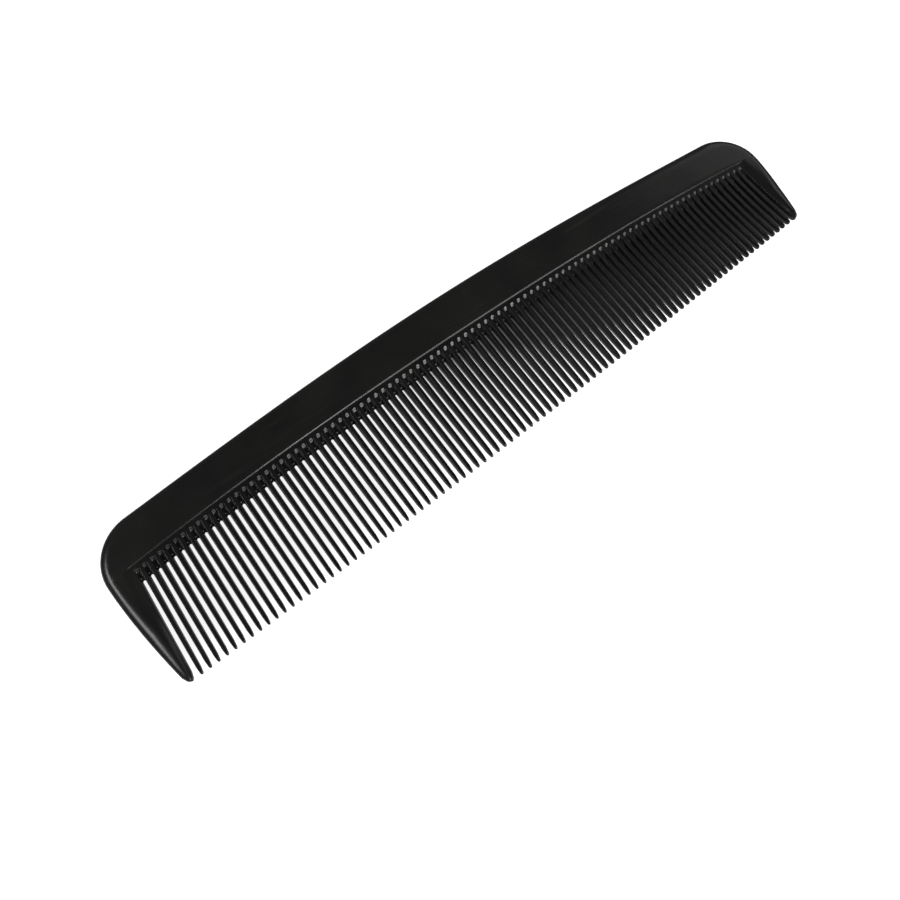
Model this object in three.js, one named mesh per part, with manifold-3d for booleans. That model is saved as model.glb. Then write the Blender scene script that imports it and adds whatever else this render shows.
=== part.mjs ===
// Fine-tooth dressing comb, moulded in one piece of black plastic.
//
// The comb lies flat: +X runs along it, +Y points from the tooth tips to the back and +Z is up.
// The origin is the middle of the bounding box in X and Y, on the plane of its underside.
// The moulding is divided at its own creases: the thick spine, a guard tooth at each end, and the
// thinner row of teeth, which is cut into equal blocks through the middle of a slot. Neighbours share
// one flat face, so together they fill exactly the space of the one moulding.

import * as THREE from 'three';
import { mergeVertices } from 'three/addons/utils/BufferGeometryUtils.js';
import Module from 'manifold-3d';

// Driving dimensions, in millimetres.
const PITCH = 1.87; // from one tooth to the next
const TEETH = 90;
const TEETH_PER_BLOCK = 10;
const BACK_HEIGHT = 36.2; // from the tooth tips to the top of the back, at the middle
const RIDGE_HEIGHT = 26.1; // from the tips to the crease between the teeth and the spine
const ROOT_HEIGHT = 22.9; // from the tips to where a slot opens right through
const LENGTH = 178;
const SPINE_THICKNESS = 4.2;
const PANEL_THICKNESS = 3.7; // of the toothed part, at the crease
const TIP_THICKNESS = 1.0; // of the teeth, at their tips

// How far each line drops from the middle of the comb to the last slot: a square and a fourth power.
const BACK_DROP = [5, -1];
const RIDGE_DROP = [2.6, 0.6];
const TIP_DROP = [-1, 0];
const TIP_TAPER = 2.8; // the teeth are this much longer at the left end, and shorter at the right end
const LEAN = 1.6; // how far inwards the last slots have leant by the crease

const CORNER_RADIUS = 10.3; // of the two corners of the back
const EDGE_ROUND = 1.9; // rounding of the spine's outer edge
const BACK_STEPS = 24;
const RIDGE_STEP = 5 * PITCH; // length of each straight stretch of the crease

// A slot: half widths at the mid-plane, and its draft towards the two faces.
const ROOT_HALF_GAP = 0.285;
const NECK_HALF_GAP = 0.455;
const MOUTH_HALF_GAP = 0.68;
const DRAFT = 0.15; // widening per millimetre away from the mid-plane
const NECK_HEIGHT = 1.7; // where the teeth start to taper to their tips
const MOUTH_DEPTH = 0.5; // how far a slot's cutter reaches past the tips
const ROOF_RUN = 2.6; // how much further a slot reaches at the faces than at the mid-plane
const CUT_HEIGHT = 2.2; // of a slot's cutter, above and below the mid-plane

// A guard tooth.
const RIM_WIDTH = 1.9;
const RIM_TIP_THICKNESS = 2.3;
const RIM_EDGE = 0.3; // share of the rim's thickness left at its outer edge
const GUARD_TIP_HALF_LENGTH = 86.4; // half of the comb's length, at the tips
const GUARD_BOW = 1.7; // power of the bow of its outer edge
const GUARD_TIP_ROUND = 0.9; // how far the tip's corner is rounded off
const GUARD_ROUND_SHARE = 0.06; // share of the guard's length in which it is rounded off
const CREST_CLEARANCE = 0.4; // least distance of the rim's crest from the middle of the last slot

const MIDDLE = SPINE_THICKNESS / 2; // height of the mid-plane
const ROW_HALF = (TEETH / 2) * PITCH; // from the middle of the comb to the last slot's middle
const HALF_LENGTH = LENGTH / 2;
const LOWEST_TIP = TIP_TAPER + TIP_DROP[0]; // how far the left end's tips are below the middle's
const TIP_Y = (LOWEST_TIP - BACK_HEIGHT) / 2;
const BLOCKS = TEETH / TEETH_PER_BLOCK;

function drop(x, [square, fourth]) {
	const t = x / ROW_HALF;
	return square * t ** 2 + fourth * t ** 4;
}

const tipY = (x) => TIP_Y - drop(x, TIP_DROP) + (TIP_TAPER * x) / ROW_HALF;
const rootY = (x) => TIP_Y + ROOT_HEIGHT - drop(x, RIDGE_DROP);
const ridgeY = (x) => TIP_Y + RIDGE_HEIGHT - drop(x, RIDGE_DROP);
const backY = (x) => TIP_Y + BACK_HEIGHT - drop(x, BACK_DROP);
const mix = (a, b, share) => a + (b - a) * share;

// A corner's arc leaves the end of the comb upright and meets the back along its slope.
const cornerX = HALF_LENGTH - CORNER_RADIUS;
const backSlope = Math.atan((backY(cornerX - 1) - backY(cornerX + 1)) / 2);
const cornerTurn = Math.PI / 2 - backSlope;
const backEndX = cornerX + CORNER_RADIUS * Math.cos(cornerTurn);
const cornerY = backY(backEndX) - CORNER_RADIUS * Math.sin(cornerTurn);

// The teeth stand upright in the middle of the comb and lean outwards, more and more, towards its ends.
// A point at x on the line of the tips moves to leant(x, share) at a share of the way to the crease.
const leant = (x, share) => x - LEAN * (x / ROW_HALF) ** 3 * share;

// Thickness of the toothed part, from its tips (0) to the crease (1): quick to grow at the tips, then
// even along the teeth, then growing again towards the crease.
const panelThickness = (share) =>
	mix(TIP_THICKNESS, PANEL_THICKNESS, 0.62 * share ** 0.4 + 0.38 * share ** 6);

const wasm = await Module();
wasm.setup();

function toSolid(geometry) {
	const bare = geometry.clone();
	bare.deleteAttribute('normal');
	bare.deleteAttribute('uv');
	const merged = mergeVertices(bare, 1e-4);
	return new wasm.Manifold(
		new wasm.Mesh({
			numProp: 3,
			vertProperties: merged.getAttribute('position').array,
			triVerts: new Uint32Array(merged.index.array),
		}),
	);
}

function toGeometry(solid) {
	const { vertProperties, triVerts } = solid.getMesh();
	const geometry = new THREE.BufferGeometry();
	geometry.setAttribute('position', new THREE.BufferAttribute(vertProperties, 3));
	geometry.setIndex(new THREE.BufferAttribute(triVerts, 1));
	return geometry;
}

// A box whose grid of corners is moved. place takes 0 to 1 across, 0 to 1 along and -1 to 1 through.
function shapedBox(across, along, through, place) {
	const geometry = new THREE.BoxGeometry(1, 1, 1, across, along, through);
	const corners = geometry.getAttribute('position');
	for (let i = 0; i < corners.count; i++) {
		const u = corners.getX(i) + 0.5;
		const v = corners.getY(i) + 0.5;
		const w = corners.getZ(i) * 2;
		corners.setXYZ(i, ...place(u, v, w));
	}
	return geometry;
}

// The space between two teeth: narrowest at the mid-plane, with a roof-shaped end, and wider at its
// mouth, so that the teeth taper to their tips.
function slot(x) {
	const heights = [tipY(x) - MOUTH_DEPTH, tipY(x) + NECK_HEIGHT, rootY(x)];
	const halfGaps = [MOUTH_HALF_GAP, NECK_HALF_GAP, ROOT_HALF_GAP];
	return toSolid(
		shapedBox(1, 2, 2, (u, v, w) => {
			const station = Math.round(v * 2);
			const halfGap = halfGaps[station] + DRAFT * CUT_HEIGHT * Math.abs(w);
			const roof = station === 2 ? (ROOF_RUN * CUT_HEIGHT * Math.abs(w)) / MIDDLE : 0;
			const y = heights[station] + roof;
			const middle = leant(x, (y - tipY(x)) / (ridgeY(x) - tipY(x)));
			return [middle + (2 * u - 1) * halfGap, y, MIDDLE + w * CUT_HEIGHT];
		}),
	);
}

function cutSlots(blank, xs) {
	let solid = toSolid(blank);
	for (const x of xs) solid = solid.subtract(slot(x));
	return toGeometry(solid);
}

// One length of the toothed part, from the middle of one slot to the middle of another.
function toothBlock(start) {
	const width = TEETH_PER_BLOCK * PITCH;
	const blank = shapedBox(Math.round(width / RIDGE_STEP), 4, 1, (u, v, w) => {
		const x = start + u * width;
		const share = v ** 1.8; // closer stations near the tips, where the thickness changes fastest
		const halfThickness = panelThickness(share) / 2;
		return [leant(x, share), mix(tipY(x), ridgeY(x), share), MIDDLE + w * halfThickness];
	});
	const slots = Array.from({ length: TEETH_PER_BLOCK + 1 }, (_, i) => start + i * PITCH);
	return cutSlots(blank, slots);
}

// Half of the comb's length at a share of the way from the guard's tip to its top.
function guardHalfLength(share) {
	const bow = (HALF_LENGTH - GUARD_TIP_HALF_LENGTH) * (1 - (1 - share) ** GUARD_BOW);
	const rounded = Math.max(0, 1 - share / GUARD_ROUND_SHARE);
	return GUARD_TIP_HALF_LENGTH + bow - GUARD_TIP_ROUND * (1 - Math.sqrt(1 - rounded ** 2));
}

// The guard tooth at the right end (side 1) or the left end (side -1).
function guardTooth(side) {
	const blank = shapedBox(2, 8, 1, (u, v, w) => {
		const share = v ** 2;
		const outer = guardHalfLength(share);
		const rimThickness = mix(RIM_TIP_THICKNESS, SPINE_THICKNESS, share ** 0.6);
		const inwards = side > 0 ? u : 1 - u;
		const station = Math.round(inwards * 2);
		const inner = leant(ROW_HALF, share);
		const crest = Math.max(outer - RIM_WIDTH, inner + CREST_CLEARANCE);
		const x = [inner, crest, outer][station];
		const thickness = [panelThickness(share), rimThickness, RIM_EDGE * rimThickness][station];
		const topShare = (x - inner) / (outer - inner);
		const topY = mix(ridgeY(ROW_HALF), cornerY, topShare);
		const y = mix(tipY(side * ROW_HALF), topY, share);
		return [side * x, y, MIDDLE + (w * thickness) / 2];
	});
	return cutSlots(blank, [side * ROW_HALF]);
}

// The points of the crease from left to right, out to the feet of the two corner arcs.
function creasePoints() {
	const count = Math.round((2 * ROW_HALF) / RIDGE_STEP);
	const points = Array.from({ length: count + 1 }, (_, i) => {
		const x = -ROW_HALF + i * RIDGE_STEP;
		return new THREE.Vector2(leant(x, 1), ridgeY(x));
	});
	return [new THREE.Vector2(-HALF_LENGTH, cornerY), ...points, new THREE.Vector2(HALF_LENGTH, cornerY)];
}

// The outline of the comb above a line of points that runs from left to right.
function outlineAbove(lower) {
	const shape = new THREE.Shape(lower);
	shape.absarc(cornerX, cornerY, CORNER_RADIUS, 0, cornerTurn);
	for (let i = 1; i < BACK_STEPS; i++) {
		const x = mix(backEndX, -backEndX, i / BACK_STEPS);
		shape.lineTo(x, backY(x));
	}
	shape.absarc(-cornerX, cornerY, CORNER_RADIUS, Math.PI - cornerTurn, Math.PI);
	return shape;
}

function spine() {
	const below = cornerY - 3 * EDGE_ROUND;
	const foot = [new THREE.Vector2(-HALF_LENGTH, below), new THREE.Vector2(HALF_LENGTH, below)];
	const rounded = new THREE.ExtrudeGeometry(outlineAbove(foot), {
		depth: SPINE_THICKNESS - 2 * EDGE_ROUND,
		bevelThickness: EDGE_ROUND,
		bevelSize: EDGE_ROUND,
		bevelOffset: -EDGE_ROUND,
		bevelSegments: 3,
		curveSegments: 8,
	}).translate(0, 0, EDGE_ROUND);
	const straight = new THREE.ExtrudeGeometry(outlineAbove(creasePoints()), {
		depth: 2 * SPINE_THICKNESS,
		bevelEnabled: false,
		curveSegments: 8,
	}).translate(0, 0, -MIDDLE);
	return toGeometry(toSolid(rounded).intersect(toSolid(straight)));
}

const BLACK = 0x161616;
const comb = new THREE.Group();

function addPart(name, geometry, roughness) {
	const material = new THREE.MeshStandardMaterial({ color: BLACK, roughness, metalness: 0 });
	geometry.computeVertexNormals();
	const mesh = new THREE.Mesh(geometry, material);
	mesh.name = name;
	comb.add(mesh);
}

addPart('spine', spine(), 0.42);
addPart('guard_tooth_left', guardTooth(-1), 0.38);
addPart('guard_tooth_right', guardTooth(1), 0.38);
for (let i = 0; i < BLOCKS; i++) {
	const start = -ROW_HALF + i * TEETH_PER_BLOCK * PITCH;
	addPart(`tooth_block_${i + 1}`, toothBlock(start), 0.4);
}

export default comb;
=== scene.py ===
"""A fine-tooth dressing comb of black plastic, moulded in one piece, lying flat on a white table.

The comb is a thin moulding that mirrors about its mid-plane, so every region is made as one sheet of
half thicknesses and its mirror image, joined along the parting line. Lengths are in millimetres until
the last step of the mesh making, as in the CAD source.
"""

import math

import bpy
import numpy as np
from mathutils import Matrix, Vector


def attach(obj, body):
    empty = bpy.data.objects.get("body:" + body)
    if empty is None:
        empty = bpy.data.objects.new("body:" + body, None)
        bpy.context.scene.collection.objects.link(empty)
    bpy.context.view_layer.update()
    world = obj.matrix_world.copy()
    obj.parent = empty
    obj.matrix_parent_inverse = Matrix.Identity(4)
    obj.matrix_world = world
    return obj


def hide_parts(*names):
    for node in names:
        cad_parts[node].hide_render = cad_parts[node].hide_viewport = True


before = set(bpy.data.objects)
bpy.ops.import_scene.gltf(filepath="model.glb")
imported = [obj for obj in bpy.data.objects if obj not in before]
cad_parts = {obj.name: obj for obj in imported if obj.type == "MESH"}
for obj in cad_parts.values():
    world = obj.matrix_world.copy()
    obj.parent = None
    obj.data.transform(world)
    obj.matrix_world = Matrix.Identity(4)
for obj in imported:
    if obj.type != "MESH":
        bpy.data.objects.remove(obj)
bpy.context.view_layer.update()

MM = 0.001

# ---------------------------------------------------------------- driving dimensions, as in the CAD
PITCH = 1.87
TEETH = 90
TEETH_PER_BLOCK = 10
BACK_HEIGHT = 36.2
RIDGE_HEIGHT = 26.1
ROOT_HEIGHT = 22.9
SPINE_THICKNESS = 4.2
PANEL_THICKNESS = 3.7
TIP_THICKNESS = 1.0
BACK_DROP = (5.0, -1.0)  # how far a line has dropped by the end of the row: square and fourth power
RIDGE_DROP = (2.6, 0.6)
TIP_DROP = (-1.0, 0.0)
TIP_TAPER = 2.8  # the line of the tips climbs this far from the middle to the right end
LEAN = 1.6  # how far inwards the last slots have leant by the crease
CORNER_RADIUS = 10.3
ROOT_HALF_GAP = 0.285
NECK_HALF_GAP = 0.455
MOUTH_HALF_GAP = 0.68
MOUTH_DEPTH = 0.5  # the mouth's width is that of a slot this far below the tips
DRAFT = 0.15
NECK_HEIGHT = 1.7
RIM_TIP_THICKNESS = 2.3  # of a guard tooth's rim, at its tip
RIM_GROWTH = 0.6  # power by which the rim thickens towards the spine
GUARD_TIP_HALF_LENGTH = 86.4
GUARD_BOW = 1.7  # power of the bow of the comb's ends
GUARD_TIP_ROUND = 0.9  # how far the corner of a guard tooth's tip is cut in
GUARD_ROUND_SHARE = 0.06  # and over what share of its length

MIDDLE = SPINE_THICKNESS / 2
ROW_HALF = TEETH / 2 * PITCH
HALF_LENGTH = 89.0
TIP_Y = (TIP_TAPER + TIP_DROP[0] - BACK_HEIGHT) / 2

# ---------------------------------------------------------------- fine shape, beyond the CAD
EDGE_ROUND = 2.0  # of the outer edge
GUARD_EDGE_WIDENING = 1.4  # how much wider that rounding gets towards a guard tooth's tip
GUARD_EDGE_CHANGE = (0.2, 0.9)  # between these shares of the tooth's length
GUARD_EDGE_SHARE = 0.62  # the most of a guard tooth's width that it takes
RIM_EDGE = 0.14  # half height of the outer edge's upright part, as a share of the crest's
PARTING_PROUD = 0.035  # the parting line stands this far out of the upright part
PARTING_FOOT = 0.015  # and falls back to it over this run
PARTING_HALF = 0.045  # half height of the parting line
PARTING_FLARE = 1.4  # its foot is this much taller
CREASE_RUN = 0.42  # width of the bevel from the rail up to the spine
CREASE_END = (0.6, 2.2)  # beside the last slot, the crease fades out between these distances
TIP_ROUND = 0.5  # length over which a tooth's tip is rounded
LAND_ROUND = 0.12  # rounding between a tooth's top and its flank
GROOVE_FILLET = 0.12  # rounding between a groove's floor and its sides
LAND_LIMIT = 0.45  # the most of a shallow groove's depth that the two roundings take
FILLET_LIMIT = 0.4
GROOVE_STEP_RUN = 0.5  # a groove's floor climbs a step over this length from the slot's root,
GROOVE_RAMP_RUN = 1.7  # then a shallow ramp as far as this,
GROOVE_RUN = 2.4  # then a steep end as far as this
GROOVE_STEP = 0.5  # heights of the three, as shares of the half thickness
GROOVE_RAMP = 0.12
GROOVE_END = 0.38
GROOVE_END_EASE = 0.3  # how much the steep end is softened at its top and bottom
GROOVE_END_ROUND = 0.4  # radius of a groove's end, in plan
GROOVE_END_BLUNT = 0.004  # square of the share of a groove's width left at its very end
ROOT_ROUND = 0.28  # rounding of a slot's root, in plan
GUARD_TIP_ROUND_RUN = 1.1  # length over which a guard tooth's tip is rounded
GUARD_FACE_CHANGE = (0.5, 0.97)  # between these shares its face turns from a bow to the crease's step


def drop(x, powers):
    t = np.asarray(x, float) / ROW_HALF
    return powers[0] * t**2 + powers[1] * t**4


def tip_y(x):
    return TIP_Y - drop(x, TIP_DROP) + TIP_TAPER * np.asarray(x, float) / ROW_HALF


def root_y(x):
    return TIP_Y + ROOT_HEIGHT - drop(x, RIDGE_DROP)


def ridge_y(x):
    return TIP_Y + RIDGE_HEIGHT - drop(x, RIDGE_DROP)


def back_y(x):
    return TIP_Y + BACK_HEIGHT - drop(x, BACK_DROP)


def mix(a, b, share):
    return a + (b - a) * share


def smooth(low, high, value):
    t = np.clip((np.asarray(value, float) - low) / (high - low), 0, 1)
    return t * t * (3 - 2 * t)


def leant(x, share):
    """Where a point at x on the line of the tips has leant to, at a share of the way to the crease."""
    return x - LEAN * (x / ROW_HALF) ** 3 * share


def panel_half(share):
    """Half thickness of the toothed part, from its tips (0) to the crease (1)."""
    share = np.clip(share, 0, 1)
    by_shaft = 0.62 * share**0.4  # most of the growth comes soon after the tip
    by_root = 0.38 * share**6  # and the rest close to the crease
    return mix(TIP_THICKNESS, PANEL_THICKNESS, by_shaft + by_root) / 2


CORNER_X = HALF_LENGTH - CORNER_RADIUS
BACK_SLOPE = math.atan((back_y(CORNER_X - 1) - back_y(CORNER_X + 1)) / 2)
CORNER_TURN = math.pi / 2 - BACK_SLOPE
BACK_END_X = CORNER_X + CORNER_RADIUS * math.cos(CORNER_TURN)
CORNER_Y = float(back_y(BACK_END_X)) - CORNER_RADIUS * math.sin(CORNER_TURN)


# ---------------------------------------------------------------- mesh making
TOUCHING = 1e-6  # shorter lengths count as nothing
WELD_STEPS = 1e5  # per millimetre, the steps that points are rounded to before they are compared


def weld(points):
    """Distinct points, and for each given point its place among them."""
    keys = np.round(points * WELD_STEPS).astype(np.int64)
    _, first, back = np.unique(keys, axis=0, return_index=True, return_inverse=True)
    return points[first], back.reshape(-1)


def distinct(corners):
    """The corners of a face in order, each of them once."""
    kept = []
    for corner in corners:
        if corner not in kept:
            kept.append(corner)
    return kept


def closed_solid(name, grids):
    """The solid between mirrored sheets. A grid is (x, y, half thickness, present), rows along +Y."""
    points = []
    quads = []
    start = 0
    for x, y, half, present in grids:
        index = start + np.arange(x.size).reshape(x.shape)
        start += x.size
        points.append(np.stack([x, y, half], -1).reshape(-1, 3))
        cell = present[:-1, :-1] & present[:-1, 1:] & present[1:, 1:] & present[1:, :-1]
        r, c = np.nonzero(cell)
        quads.append(np.stack([index[r, c], index[r, c + 1], index[r + 1, c + 1], index[r + 1, c]], -1))
    sheet, welded = weld(np.concatenate(points))
    quads = welded[np.concatenate(quads)]
    off_middle = sheet[:, 2] > TOUCHING
    used = np.zeros(len(sheet), bool)
    used[quads.ravel()] = True

    upper = [distinct(q) for q in quads.tolist()]
    upper = [f for f in upper if len(f) > 2 and off_middle[f].any()]
    top_index = np.cumsum(used) - 1
    low_index = top_index.copy()
    split = used & off_middle
    low_index[split] = used.sum() + np.arange(split.sum())

    edges = dict.fromkeys((a, b) for f in upper for a, b in zip(f, f[1:] + f[:1]))
    faces = [[int(top_index[i]) for i in f] for f in upper]
    faces += [[int(low_index[i]) for i in reversed(f)] for f in upper]
    sharp = set()
    for a, b in edges:
        if (b, a) in edges or not (off_middle[a] or off_middle[b]):
            continue
        wall = distinct([int(top_index[b]), int(top_index[a]), int(low_index[a]), int(low_index[b])])
        faces.append(wall)
        sharp |= {frozenset(e) for e in zip(wall, wall[1:] + wall[:1])}

    top = sheet[used]
    low = sheet[split]
    vertices = np.concatenate(
        [
            np.stack([top[:, 0], top[:, 1], MIDDLE + top[:, 2]], -1),
            np.stack([low[:, 0], low[:, 1], MIDDLE - low[:, 2]], -1),
        ]
    )
    mesh = bpy.data.meshes.new(name)
    mesh.from_pydata((vertices * MM).tolist(), [], faces, shade_flat=False)
    pairs = np.zeros(len(mesh.edges) * 2, np.int32)
    mesh.edges.foreach_get("vertices", pairs)
    marks = [frozenset(pair) in sharp for pair in pairs.reshape(-1, 2).tolist()]
    mesh.attributes.new("sharp_edge", "BOOLEAN", "EDGE").data.foreach_set("value", marks)
    mesh.validate()
    solid = bpy.data.objects.new(name, mesh)
    bpy.context.scene.collection.objects.link(solid)
    return solid


# ---------------------------------------------------------------- teeth
TIP_TURN = np.radians([0, 14, 30, 48, 68, 90])
TIP_RUNS = TIP_ROUND * (1 - np.cos(TIP_TURN))
SHAFT_SHARES = np.linspace(0, 1, 11)[1:-1]
GROOVE_RUNS = np.array(
    [0.05, 0.12, 0.2, 0.3, 0.42, 0.6, 0.9, 1.3, 1.6, 1.75, 1.88]
    + [2.0, 2.1, 2.2, 2.28, 2.34, 2.38, GROOVE_RUN]
)
RAIL_SHARES = np.array([0.35, 0.7, 1.0])
ROOT_ROW = len(TIP_RUNS) + 1 + len(SHAFT_SHARES)


def groove_floor(run, half):
    """Half height of a groove's floor: a step with a round shoulder, a shallow ramp and a steep end."""
    step = GROOVE_STEP * (1 - (1 - np.clip(run / GROOVE_STEP_RUN, 0, 1)) ** 2)
    ramp = GROOVE_RAMP * np.clip(run / GROOVE_RAMP_RUN, 0, 1)
    rise = np.clip((run - GROOVE_RAMP_RUN) / (GROOVE_RUN - GROOVE_RAMP_RUN), 0, 1)
    end = GROOVE_END * mix(rise, smooth(0, 1, rise), GROOVE_END_EASE)
    return half * (step + ramp + end)


def groove_width(run):
    """Share of a groove's width left at a distance from the slot's root: all of it, then a round end."""
    into_end = np.clip(run - (GROOVE_RUN - GROOVE_END_ROUND), 0, GROOVE_END_ROUND) / GROOVE_END_ROUND
    return np.sqrt(np.clip(1 - into_end**2, GROOVE_END_BLUNT, 1))


def row_table(x, tip):
    """Heights above the tips of the rows at x: those of the tip, the shaft, the groove and the rail."""
    root = root_y(x) - tip
    ridge = ridge_y(x) - tip
    shaft = mix(NECK_HEIGHT, root, SHAFT_SHARES)
    rail = mix(root + GROOVE_RUN, ridge, RAIL_SHARES)
    return np.concatenate([TIP_RUNS, [NECK_HEIGHT], shaft, [root], root + GROOVE_RUNS, rail])


def mid_gap(height, root):
    """Half width of a slot at the mid-plane, at a height above the tips."""
    up_neck = np.clip((height + MOUTH_DEPTH) / (NECK_HEIGHT + MOUTH_DEPTH), 0, 1)
    up_shaft = np.clip((height - NECK_HEIGHT) / (root - NECK_HEIGHT), 0, 1)
    neck = mix(MOUTH_HALF_GAP, NECK_HALF_GAP, up_neck)
    shaft = mix(NECK_HALF_GAP, ROOT_HALF_GAP, up_shaft)
    return np.where(height < NECK_HEIGHT, neck, shaft)


# columns across half a tooth and half a slot, from the middle of the tooth to the middle of the slot
LAND_SHARES = np.array([0.0, 0.35, 0.75])  # over the tooth's flat top
LAND_TURN = np.radians([0, 25, 50, 72])  # round its edge
FLANK_SHARES = (0.35, 0.7)  # down its flank
FLOOR_SHARES = np.array([0.1, 0.22, 0.4, 0.65, 1.0])  # from the foot of the flank to the slot's middle
OPEN_COLUMNS = len(LAND_TURN) + len(FLANK_SHARES) + 1  # those of the edge, the flank and its foot
FLANK_EASE = 0.02  # how far the top of a flank leans back beyond its draft
ROOT_FADE = ((1, 0.9), (2, 0.75), (3, 0.6), (4, 0.4), (5, 0.2))  # rows past the root, rounding kept


def slot_side(height, root, ridge):
    """Half a slot's profile in each row, from the edge of the tooth beside it to the slot's middle.

    Returns the distance from the slot's middle, the half thickness and the shift along Y of each column,
    and the half thickness of the tooth's flat top in each row.
    """
    half = panel_half(height / ridge)
    floor = np.where(height >= root, groove_floor(height - root, half), 0.0)
    floor[ROOT_ROW] = 0.0
    gap = mid_gap(height, root)
    depth = half - floor
    land = np.minimum(LAND_ROUND, LAND_LIMIT * depth)
    closed = height > root + TOUCHING
    fillet = np.minimum(GROOVE_FILLET, FILLET_LIMIT * depth) * closed
    away = []
    heights = []
    top_gap = gap + DRAFT * (half - land)
    for turn in LAND_TURN:
        away.append(top_gap + LAND_ROUND * (1 - math.sin(turn)))
        heights.append(half - land * (1 - math.cos(turn)))
    for share in FLANK_SHARES:
        z = mix(half - land, floor + fillet, share)
        away.append(gap + DRAFT * z + FLANK_EASE * (1 - share))
        heights.append(z)
    foot = gap + DRAFT * (floor + fillet)
    away.append(foot)
    heights.append(floor + fillet)
    for share in FLOOR_SHARES:
        reach = foot * share
        rise = fillet * (1 - np.sqrt(1 - (1 - np.minimum(reach / GROOVE_FILLET, 1)) ** 2))
        away.append(foot - reach)
        heights.append(floor + rise)
    away = np.stack(away, -1) * groove_width(np.maximum(height - root, 0))[:, None]
    heights = np.stack(heights, -1)
    shift = np.zeros_like(away)
    flank_bend = np.linspace(0, 1, OPEN_COLUMNS)
    floor_bend = 1 - np.sqrt(1 - (1 - FLOOR_SHARES) ** 2)
    bend = ROOT_ROUND * np.concatenate([flank_bend, floor_bend])
    shift[ROOT_ROW] = -bend
    for offset, faded in ROOT_FADE:
        shift[ROOT_ROW + offset] = -bend * faded
    heights[np.abs(heights) < TOUCHING] = 0.0
    return away, heights, shift, half


def tooth_grid(centre):
    """One tooth, from the middle of the slot on its left to the middle of the slot on its right."""
    tip = float(tip_y(centre))
    rows = []
    sides = []
    for side in (-1, 1):
        edge = centre + side * PITCH / 2
        height = row_table(edge, tip)
        root = float(root_y(edge)) - tip
        ridge = float(ridge_y(edge)) - tip
        away, heights, shift, half = slot_side(height, root, ridge)
        fullness = np.ones(len(height))
        fullness[: len(TIP_TURN)] = np.sin(TIP_TURN)
        x = PITCH / 2 - away
        flat = len(LAND_SHARES)
        x = np.concatenate([x[:, :1] * LAND_SHARES, x], 1) * fullness[:, None]
        heights = np.concatenate([np.repeat(half[:, None], flat, 1), heights], 1) * fullness[:, None]
        shift = np.concatenate([np.zeros((len(height), flat)), shift], 1)
        present = np.ones(x.shape, bool)
        present[:ROOT_ROW, flat + OPEN_COLUMNS :] = False
        rows.append(height[:, None])
        sides.append((side * x + centre, heights, shift, present))
    x, half, shift, present = (
        np.concatenate([left[:, ::-1], right[:, 1:]], 1) for left, right in zip(*sides)
    )
    y = tip + mix(*rows, (x - centre) / PITCH + 0.5) + shift
    y[-1] = ridge_y(x[-1])
    return leant(x, (y - tip_y(x)) / (ridge_y(x) - tip_y(x))), y, half, present


def tooth_block(number):
    start = -ROW_HALF + (number - 1) * TEETH_PER_BLOCK * PITCH
    grids = [tooth_grid(start + (i + 0.5) * PITCH) for i in range(TEETH_PER_BLOCK)]
    return closed_solid(f"tooth_block_{number}_moulding", grids)


# ---------------------------------------------------------------- the outer edge
RIM_STATIONS = (
    np.array([0, 0, 0.035, 0.05, 0.08, 0.14, 0.24, 0.38, 0.56, 0.8, 1.08, 1.4, 1.7, 2]) / EDGE_ROUND
)


def rim_half(distance, crest, width=EDGE_ROUND):
    """Half thickness at a distance in from the outline, for a crest of that half height."""
    edge = RIM_EDGE * crest
    start = PARTING_PROUD + PARTING_FOOT
    run = np.clip((distance - start) / (width - start), 0, 1)
    return edge + (crest - edge) * np.sqrt(1 - (1 - run) ** 2)


def parting(columns, crest):
    """Sets the first four stations: the parting line, and then the foot of the upright part."""
    columns[0] = 0 * crest
    columns[1] = PARTING_HALF + 0 * crest
    columns[2] = PARTING_HALF * PARTING_FLARE + 0 * crest
    columns[3] = RIM_EDGE * crest


# ---------------------------------------------------------------- guard teeth
def guard_half_length(share):
    bow = (HALF_LENGTH - GUARD_TIP_HALF_LENGTH) * (1 - (1 - share) ** GUARD_BOW)
    rounded = np.maximum(0, 1 - share / GUARD_ROUND_SHARE)
    return GUARD_TIP_HALF_LENGTH + bow - GUARD_TIP_ROUND * (1 - np.sqrt(1 - rounded**2))


def rail_end_rise(away):
    """Share of the step of the crease climbed at a distance from the last slot's middle line."""
    return smooth(*CREASE_END, away)


def rail_end_half(x):
    """Half thickness along the top of a guard tooth: full, but down to the rail's beside the slot."""
    return mix(PANEL_THICKNESS / 2, MIDDLE, rail_end_rise(np.abs(x) - (ROW_HALF - LEAN)))


FACE_SHARES = np.array([0.08, 0.2, 0.35, 0.5, 0.62, 0.72, 0.8, 0.87, 0.93])  # columns over its face


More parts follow.
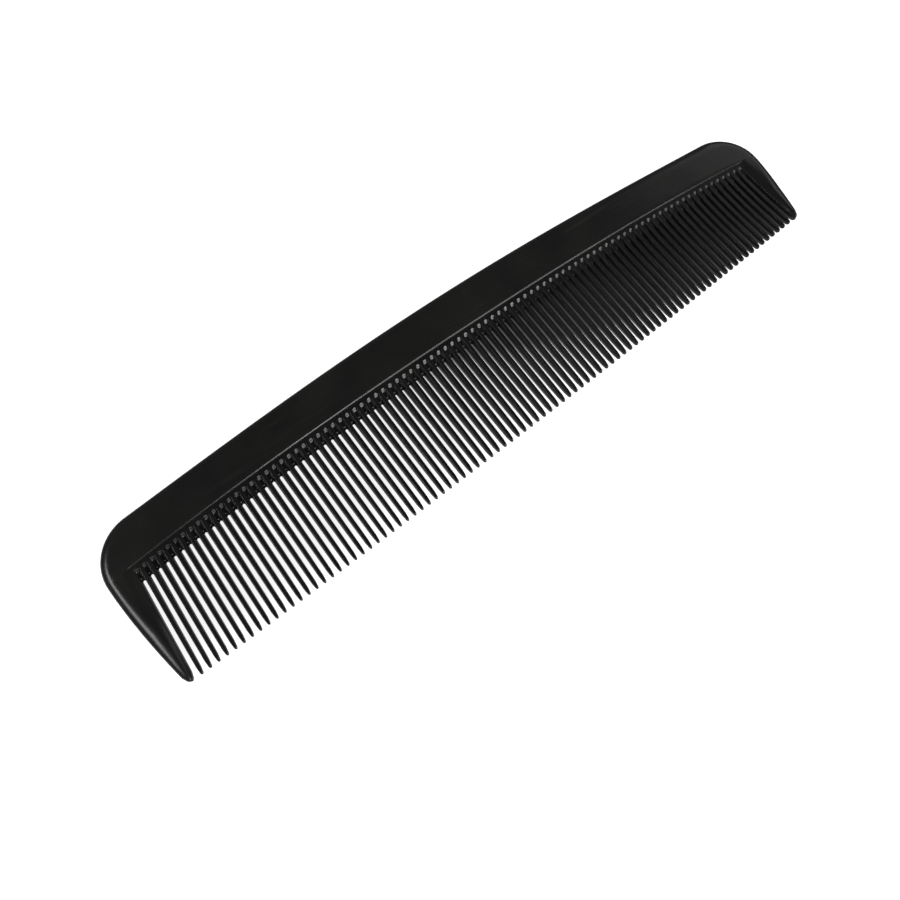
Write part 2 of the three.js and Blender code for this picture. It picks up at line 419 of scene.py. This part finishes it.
def guard_tooth(side):
    tip = float(tip_y(side * ROW_HALF))
    height = row_table(ROW_HALF, tip)
    root = float(root_y(ROW_HALF)) - tip
    ridge = float(ridge_y(ROW_HALF)) - tip
    away, heights, shift, half = slot_side(height, root, ridge)
    share = height / ridge
    turn = np.clip(height / GUARD_TIP_ROUND_RUN, 0, 1)
    fullness = np.sqrt(1 - (1 - turn) ** 2)

    outer = guard_half_length(share)
    inner = leant(ROW_HALF, (height[:, None] + shift) / ridge)
    land = inner[:, 0] + away[:, 0]
    full_width = EDGE_ROUND * mix(GUARD_EDGE_WIDENING, 1, smooth(*GUARD_EDGE_CHANGE, share))
    width = np.minimum(full_width, GUARD_EDGE_SHARE * (outer - land))
    crest_half = mix(RIM_TIP_THICKNESS, SPINE_THICKNESS, share**RIM_GROWTH) / 2
    crest = outer - width

    columns_x = list((inner + away)[:, ::-1].T)
    columns_h = list(heights[:, ::-1].T)
    upper = smooth(*GUARD_FACE_CHANGE, share)
    for station in FACE_SHARES:
        low_rise = math.sin(station * math.pi / 2)
        high_rise = rail_end_rise(mix(land, crest, station) - inner[:, 0])
        rise = mix(low_rise, high_rise, upper)
        columns_x.append(mix(land, crest, station))
        columns_h.append(mix(half, crest_half, rise))
    rim = [rim_half(s * width, crest_half, width) for s in RIM_STATIONS]
    parting(rim, crest_half)
    for station, rim_height in zip(RIM_STATIONS[::-1], rim[::-1]):
        columns_x.append(outer - station * width)
        columns_h.append(rim_height)
    x = np.stack(columns_x, -1)
    half_grid = np.stack(columns_h, -1)
    half_grid[-1] = np.minimum(half_grid[-1], rail_end_half(x[-1]))

    shift_grid = np.zeros_like(x)
    shift_grid[:, : away.shape[1]] = shift[:, ::-1]
    centre = (land + outer)[:, None] / 2
    x = centre + (x - centre) * fullness[:, None]
    half_grid = half_grid * fullness[:, None]
    top_share = np.clip((x - inner[:, -1:]) / (outer[:, None] - inner[:, -1:]), 0, 1)
    top = mix(float(ridge_y(ROW_HALF)), CORNER_Y, top_share)
    y = mix(tip, top, share[:, None]) + shift_grid
    present = np.ones(x.shape, bool)
    present[:ROOT_ROW, : away.shape[1] - OPEN_COLUMNS] = False
    if side < 0:
        x, y, half_grid, present = -x[:, ::-1], y[:, ::-1], half_grid[:, ::-1], present[:, ::-1]
    name = "guard_tooth_right_moulding" if side > 0 else "guard_tooth_left_moulding"
    return closed_solid(name, [(x, y, half_grid, present)])


# ---------------------------------------------------------------- spine
CREASE_SHARES = (0.0, 0.12, 0.35, 0.65, 0.88, 1.0)  # places across the bevel of the crease,
CREASE_RISE = (0.0, 0.05, 0.31, 0.69, 0.95, 1.0)  # and how much of its height is climbed there
CORNER_STEPS = 28
END_STEPS = 8  # along the top of a guard tooth
FACE_ROWS = 7  # between the crease and the rounded edge
SQUEEZED_SHARE = 0.7  # the most of the spine's height that the bevel and the rounded edge take


def spine_lines():
    """Matching points of the spine's foot and of its outline, from left to right."""
    turns = np.linspace(0, CORNER_TURN, CORNER_STEPS + 1)
    corner_x = CORNER_X + CORNER_RADIUS * np.cos(turns)
    corner_y = CORNER_Y + CORNER_RADIUS * np.sin(turns)
    corner = np.stack([corner_x, corner_y], -1)
    back_x = np.linspace(BACK_END_X, 0, TEETH + 1)[1:]
    back = np.stack([back_x, back_y(back_x)], -1)
    outline = np.concatenate([corner, back])

    end_share = np.linspace(0, 1, END_STEPS + 1)
    end_x = mix(HALF_LENGTH, ROW_HALF - LEAN, end_share)
    end_y = mix(CORNER_Y, float(ridge_y(ROW_HALF)), end_share)
    end = np.stack([end_x, end_y], -1)
    rest_x = np.linspace(ROW_HALF, 0, len(outline) - END_STEPS)[1:]
    foot = np.concatenate([end, np.stack([leant(rest_x, 1), ridge_y(rest_x)], -1)])

    def both(points):
        mirrored = points * np.array([-1, 1])
        return np.concatenate([mirrored, points[::-1][1:]])

    return both(foot), both(outline)


def outline_distance(x, y):
    """How far a point of the spine is in from the outline."""
    x = np.abs(x)
    from_corner = np.hypot(x - CORNER_X, y - CORNER_Y)
    angle = np.arctan2(y - CORNER_Y, x - CORNER_X)
    slope = np.arctan(back_y(x - 0.5) - back_y(x + 0.5))
    under_back = (back_y(x) - y) * np.cos(slope)
    in_corner = (angle <= CORNER_TURN) & (x > CORNER_X)
    return np.maximum(np.where(in_corner, CORNER_RADIUS - from_corner, under_back), 0)


def spine():
    foot, outline = spine_lines()
    span = np.hypot(*(outline - foot).T)
    scale = np.maximum(span, TOUCHING)
    squeeze = np.minimum(1, span / (EDGE_ROUND + CREASE_RUN) * SQUEEZED_SHARE)
    rows = [np.minimum(CREASE_RUN * s * squeeze / scale, 1) for s in CREASE_SHARES]
    rim = [1 - np.minimum(EDGE_ROUND * s * squeeze / scale, 1) for s in RIM_STATIONS[::-1]]
    rows += [mix(rows[-1], rim[0], s) for s in np.linspace(0, 1, FACE_ROWS + 2)[1:-1]]
    rows += rim
    share = np.stack(rows)
    x = mix(foot[None, :, 0], outline[None, :, 0], share)
    y = mix(foot[None, :, 1], outline[None, :, 1], share)
    distance = outline_distance(x, y)
    half = rim_half(distance, MIDDLE)

    base = rail_end_half(foot[:, 0])[None, :]
    rise = np.ones(len(rows))
    rise[: len(CREASE_SHARES)] = CREASE_RISE
    half += (base - MIDDLE) * (1 - rise)[:, None]
    parting(half[::-1], MIDDLE)
    half[:, [0, -1]] = 0.0  # the two ends, where the foot meets the outline
    return closed_solid("spine_moulding", [(x, y, half, np.ones(x.shape, bool))])


# ---------------------------------------------------------------- material
def ramp(tree, source, stops):
    """A value stretched from the first two stops to the last two."""
    made = tree.nodes.new("ShaderNodeMapRange")
    made.inputs["From Min"].default_value = stops[0]
    made.inputs["From Max"].default_value = stops[1]
    made.inputs["To Min"].default_value = stops[2]
    made.inputs["To Max"].default_value = stops[3]
    tree.links.new(source, made.inputs["Value"])
    return made.outputs["Result"]


def arithmetic(tree, operation, a, b):
    made = tree.nodes.new("ShaderNodeMath")
    made.operation = operation
    for place, value in enumerate((a, b)):
        if isinstance(value, (int, float)):
            made.inputs[place].default_value = value
        else:
            tree.links.new(value, made.inputs[place])
    return made.outputs[0]


def scaled_coordinates(tree, scale):
    where = tree.nodes.new("ShaderNodeTexCoord")
    mapping = tree.nodes.new("ShaderNodeMapping")
    mapping.inputs["Scale"].default_value = scale
    tree.links.new(where.outputs["Object"], mapping.inputs["Vector"])
    return mapping.outputs["Vector"]


def noise(tree, scale, detail, stretch=(1, 1, 1)):
    made = tree.nodes.new("ShaderNodeTexNoise")
    made.inputs["Scale"].default_value = scale
    made.inputs["Detail"].default_value = detail
    tree.links.new(scaled_coordinates(tree, stretch), made.inputs["Vector"])
    return made.outputs["Fac"]


PLASTIC_IOR = 1.49
WORN_COLOUR = (0.03, 0.03, 0.029, 1)
MOTTLE_SCALE = 90  # of the noises, per metre
WEAR_SCALE = 400
SMUDGE_SCALE = 55
HAIRLINE_SCALE = 260
HAIRLINE_STRETCH = (0.12, 2.2, 1)  # drawn out along the comb
GRAIN_SCALE = 6500
GRAIN_DEPTH = 0.004
SCRATCH_DEPTH = 0.01


def black_plastic(name, dark, light, roughness, grain, scratches):
    """Moulded black plastic: faint mottling, a fine moulded grain, hairline scratches and worn edges."""
    material = bpy.data.materials.new(name)
    material.use_nodes = True
    tree = material.node_tree
    shader = tree.nodes["Principled BSDF"]
    shader.inputs["IOR"].default_value = PLASTIC_IOR
    shader.inputs["Specular IOR Level"].default_value = 0.5

    mottle = noise(tree, MOTTLE_SCALE, 3)
    colour = tree.nodes.new("ShaderNodeMix")
    colour.data_type = "RGBA"
    colour.inputs["A"].default_value = (*dark, 1)
    colour.inputs["B"].default_value = (*light, 1)
    tree.links.new(ramp(tree, mottle, (0.35, 0.65, 0, 1)), colour.inputs["Factor"])

    geometry = tree.nodes.new("ShaderNodeNewGeometry")
    wear = ramp(tree, geometry.outputs["Pointiness"], (0.52, 0.62, 0, 1))
    worn = tree.nodes.new("ShaderNodeMix")
    worn.data_type = "RGBA"
    worn.inputs["B"].default_value = WORN_COLOUR
    patches = ramp(tree, noise(tree, WEAR_SCALE, 2), (0.4, 0.7, 0, 0.5))
    patchy = arithmetic(tree, "MULTIPLY", wear, patches)
    tree.links.new(patchy, worn.inputs["Factor"])
    tree.links.new(colour.outputs["Result"], worn.inputs["A"])
    tree.links.new(worn.outputs["Result"], shader.inputs["Base Color"])

    smudge = ramp(tree, noise(tree, SMUDGE_SCALE, 4), (0.3, 0.7, -0.05, 0.06))
    hairline = noise(tree, HAIRLINE_SCALE, 5, HAIRLINE_STRETCH)
    scratched = ramp(tree, hairline, (0.62, 0.75, 0, 0.16))
    rough = arithmetic(tree, "ADD", arithmetic(tree, "ADD", smudge, scratched), roughness)
    tree.links.new(rough, shader.inputs["Roughness"])

    fine = tree.nodes.new("ShaderNodeBump")
    fine.inputs["Strength"].default_value = grain
    fine.inputs["Distance"].default_value = GRAIN_DEPTH * MM
    tree.links.new(noise(tree, GRAIN_SCALE, 3), fine.inputs["Height"])
    scratch_bump = tree.nodes.new("ShaderNodeBump")
    scratch_bump.inputs["Strength"].default_value = scratches
    scratch_bump.inputs["Distance"].default_value = SCRATCH_DEPTH * MM
    tree.links.new(hairline, scratch_bump.inputs["Height"])
    tree.links.new(fine.outputs["Normal"], scratch_bump.inputs["Normal"])
    tree.links.new(scratch_bump.outputs["Normal"], shader.inputs["Normal"])
    return material


# ---------------------------------------------------------------- stage, lights and camera
AIM = Vector((-18.59, -11.04, 2.1)) * MM
CAMERA_AZIMUTH = math.radians(-51.94)
CAMERA_ELEVATION = math.radians(71.02)
CAMERA_DISTANCE = 169.0 * MM
CAMERA_ROLL = math.radians(15.3)
LENS = 32.2
SENSOR_WIDTH = 36
FLOOR_SIZE = 6.0
BACKDROP_RADIUS = 2.9
BACKDROP_SIDES = 48
TABLE_WHITE = 0.86
TABLE_GLOW = 0.9
WALL_GLOW = 1.3
LAMP_DISTANCE = 0.9
SOFTBOXES = (  # name, azimuth and elevation in degrees, size in metres, power in watts
    ("front_softbox", 29, 42, (0.42, 0.22), 0.7),
    ("low_front_softbox", 19.5, 22, (0.34, 0.25), 5.2),
    ("left_softbox", -108, 42, (0.5, 0.28), 3.0),
    ("right_softbox", 104, 33, (0.5, 0.3), 0.38),
)


def direction(azimuth, elevation):
    """Unit vector towards a place round the comb: azimuth 0 is in front, at -Y, and 90 is at +X."""
    level = math.cos(elevation)
    return Vector((math.sin(azimuth) * level, -math.cos(azimuth) * level, math.sin(elevation)))


def add_camera():
    backwards = direction(CAMERA_AZIMUTH, CAMERA_ELEVATION)
    level = Vector((0, 0, 1)).cross(backwards).normalized()
    upright = backwards.cross(level)
    right = level * math.cos(CAMERA_ROLL) + upright * math.sin(CAMERA_ROLL)
    up = upright * math.cos(CAMERA_ROLL) - level * math.sin(CAMERA_ROLL)
    data = bpy.data.cameras.new("camera")
    data.lens = LENS
    data.sensor_width = SENSOR_WIDTH
    data.clip_start = 5 * MM
    camera = bpy.data.objects.new("camera", data)
    bpy.context.scene.collection.objects.link(camera)
    turned = Matrix((right, up, backwards)).transposed().to_4x4()
    camera.matrix_world = Matrix.Translation(AIM + backwards * CAMERA_DISTANCE) @ turned
    bpy.context.scene.camera = camera


def stage_material(name, diffuse, glow):
    """Matt white that glows a little, so that it stays white under the comb's own shade."""
    material = bpy.data.materials.new(name)
    material.use_nodes = True
    shader = material.node_tree.nodes["Principled BSDF"]
    shader.inputs["Base Color"].default_value = (diffuse, diffuse, diffuse, 1)
    shader.inputs["Roughness"].default_value = 0.9
    shader.inputs["Specular IOR Level"].default_value = 0.1
    shader.inputs["Emission Color"].default_value = (1, 1, 1, 1)
    shader.inputs["Emission Strength"].default_value = glow
    return material


def add_stage_piece(name, corners, faces, material):
    """A stage piece that the plastic doesn't mirror: the reflections come from the lamps and the world."""
    mesh = bpy.data.meshes.new(name)
    mesh.from_pydata(corners, [], faces)
    mesh.materials.append(material)
    piece = bpy.data.objects.new(name, mesh)
    bpy.context.scene.collection.objects.link(piece)
    piece.visible_glossy = False
    return piece


def add_floor():
    half = FLOOR_SIZE / 2
    corners = [(-half, -half, 0), (half, -half, 0), (half, half, 0), (-half, half, 0)]
    material = stage_material("white_table", TABLE_WHITE, TABLE_GLOW)
    add_stage_piece("floor", corners, [(0, 1, 2, 3)], material)


def add_backdrop():
    """A white wall all round, for the low views. It gives no light."""
    turns = np.linspace(0, 2 * math.pi, BACKDROP_SIDES, endpoint=False)
    ring = [(BACKDROP_RADIUS * math.cos(turn), BACKDROP_RADIUS * math.sin(turn)) for turn in turns]
    corners = [(x, y, 0) for x, y in ring] + [(x, y, BACKDROP_RADIUS) for x, y in ring]
    count = BACKDROP_SIDES
    faces = [(i, (i + 1) % count, (i + 1) % count + count, i + count) for i in range(count)]
    wall = add_stage_piece("backdrop", corners, faces, stage_material("white_wall", 0.0, WALL_GLOW))
    wall.visible_diffuse = False
    wall.visible_shadow = False


def add_softbox(name, azimuth, elevation, size, power):
    data = bpy.data.lights.new(name, "AREA")
    data.shape = "RECTANGLE"
    data.size, data.size_y = size
    data.energy = power
    lamp = bpy.data.objects.new(name, data)
    bpy.context.scene.collection.objects.link(lamp)
    towards = direction(math.radians(azimuth), math.radians(elevation))
    lamp.location = towards * LAMP_DISTANCE
    lamp.rotation_euler = towards.to_track_quat("Z", "Y").to_euler()


# sine of the elevation, radiance
WORLD_STOPS = ((-1, 0.6), (-0.55, 0.5), (-0.3, 0.1), (0, 0.06), (0.35, 0.14), (0.7, 0.07), (1, 0.03))


def add_world():
    """Grey studio round the comb, set by height."""
    world = bpy.data.worlds.new("studio")
    world.use_nodes = True
    tree = world.node_tree
    where = tree.nodes.new("ShaderNodeTexCoord")
    split = tree.nodes.new("ShaderNodeSeparateXYZ")
    tree.links.new(where.outputs["Generated"], split.inputs["Vector"])
    shade = tree.nodes.new("ShaderNodeValToRGB")
    stops = shade.color_ramp.elements
    while len(stops) < len(WORLD_STOPS):
        stops.new(0.5)
    for stop, (height, grey) in zip(stops, WORLD_STOPS):
        stop.position = (height + 1) / 2
        stop.color = (grey, grey, grey, 1)
    tree.links.new(ramp(tree, split.outputs["Z"], (-1, 1, 0, 1)), shade.inputs["Fac"])
    tree.links.new(shade.outputs["Color"], tree.nodes["Background"].inputs["Color"])
    bpy.context.scene.world = world


# ---------------------------------------------------------------- the comb
spine_plastic = black_plastic(
    "spine_plastic",
    dark=(0.0105, 0.011, 0.0105),
    light=(0.0165, 0.017, 0.0152),
    roughness=0.25,
    grain=0.5,
    scratches=0.3,
)
# a darker copy of the spine's plastic for the teeth: painted shade, as the whole comb is one moulding of
# one plastic
shaded_tooth_plastic = black_plastic(
    "shaded_tooth_plastic",
    dark=(0.005, 0.005, 0.005),
    light=(0.008, 0.0081, 0.0075),
    roughness=0.32,
    grain=0.3,
    scratches=0.06,
)

moulding = {"spine": spine(), "guard_tooth_left": guard_tooth(-1), "guard_tooth_right": guard_tooth(1)}
for number in range(1, TEETH // TEETH_PER_BLOCK + 1):
    moulding[f"tooth_block_{number}"] = tooth_block(number)
for cad_node, piece in moulding.items():
    in_teeth = cad_node.startswith("tooth")
    # the teeth take the darker copy of the plastic, which paints shade on them
    piece.data.materials.append(shaded_tooth_plastic if in_teeth else spine_plastic)
    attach(piece, "root")
    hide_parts(cad_node)

add_floor()
add_backdrop()
add_world()
for softbox in SOFTBOXES:
    add_softbox(*softbox)
add_camera()
bpy.context.scene.view_settings.view_transform = "Standard"
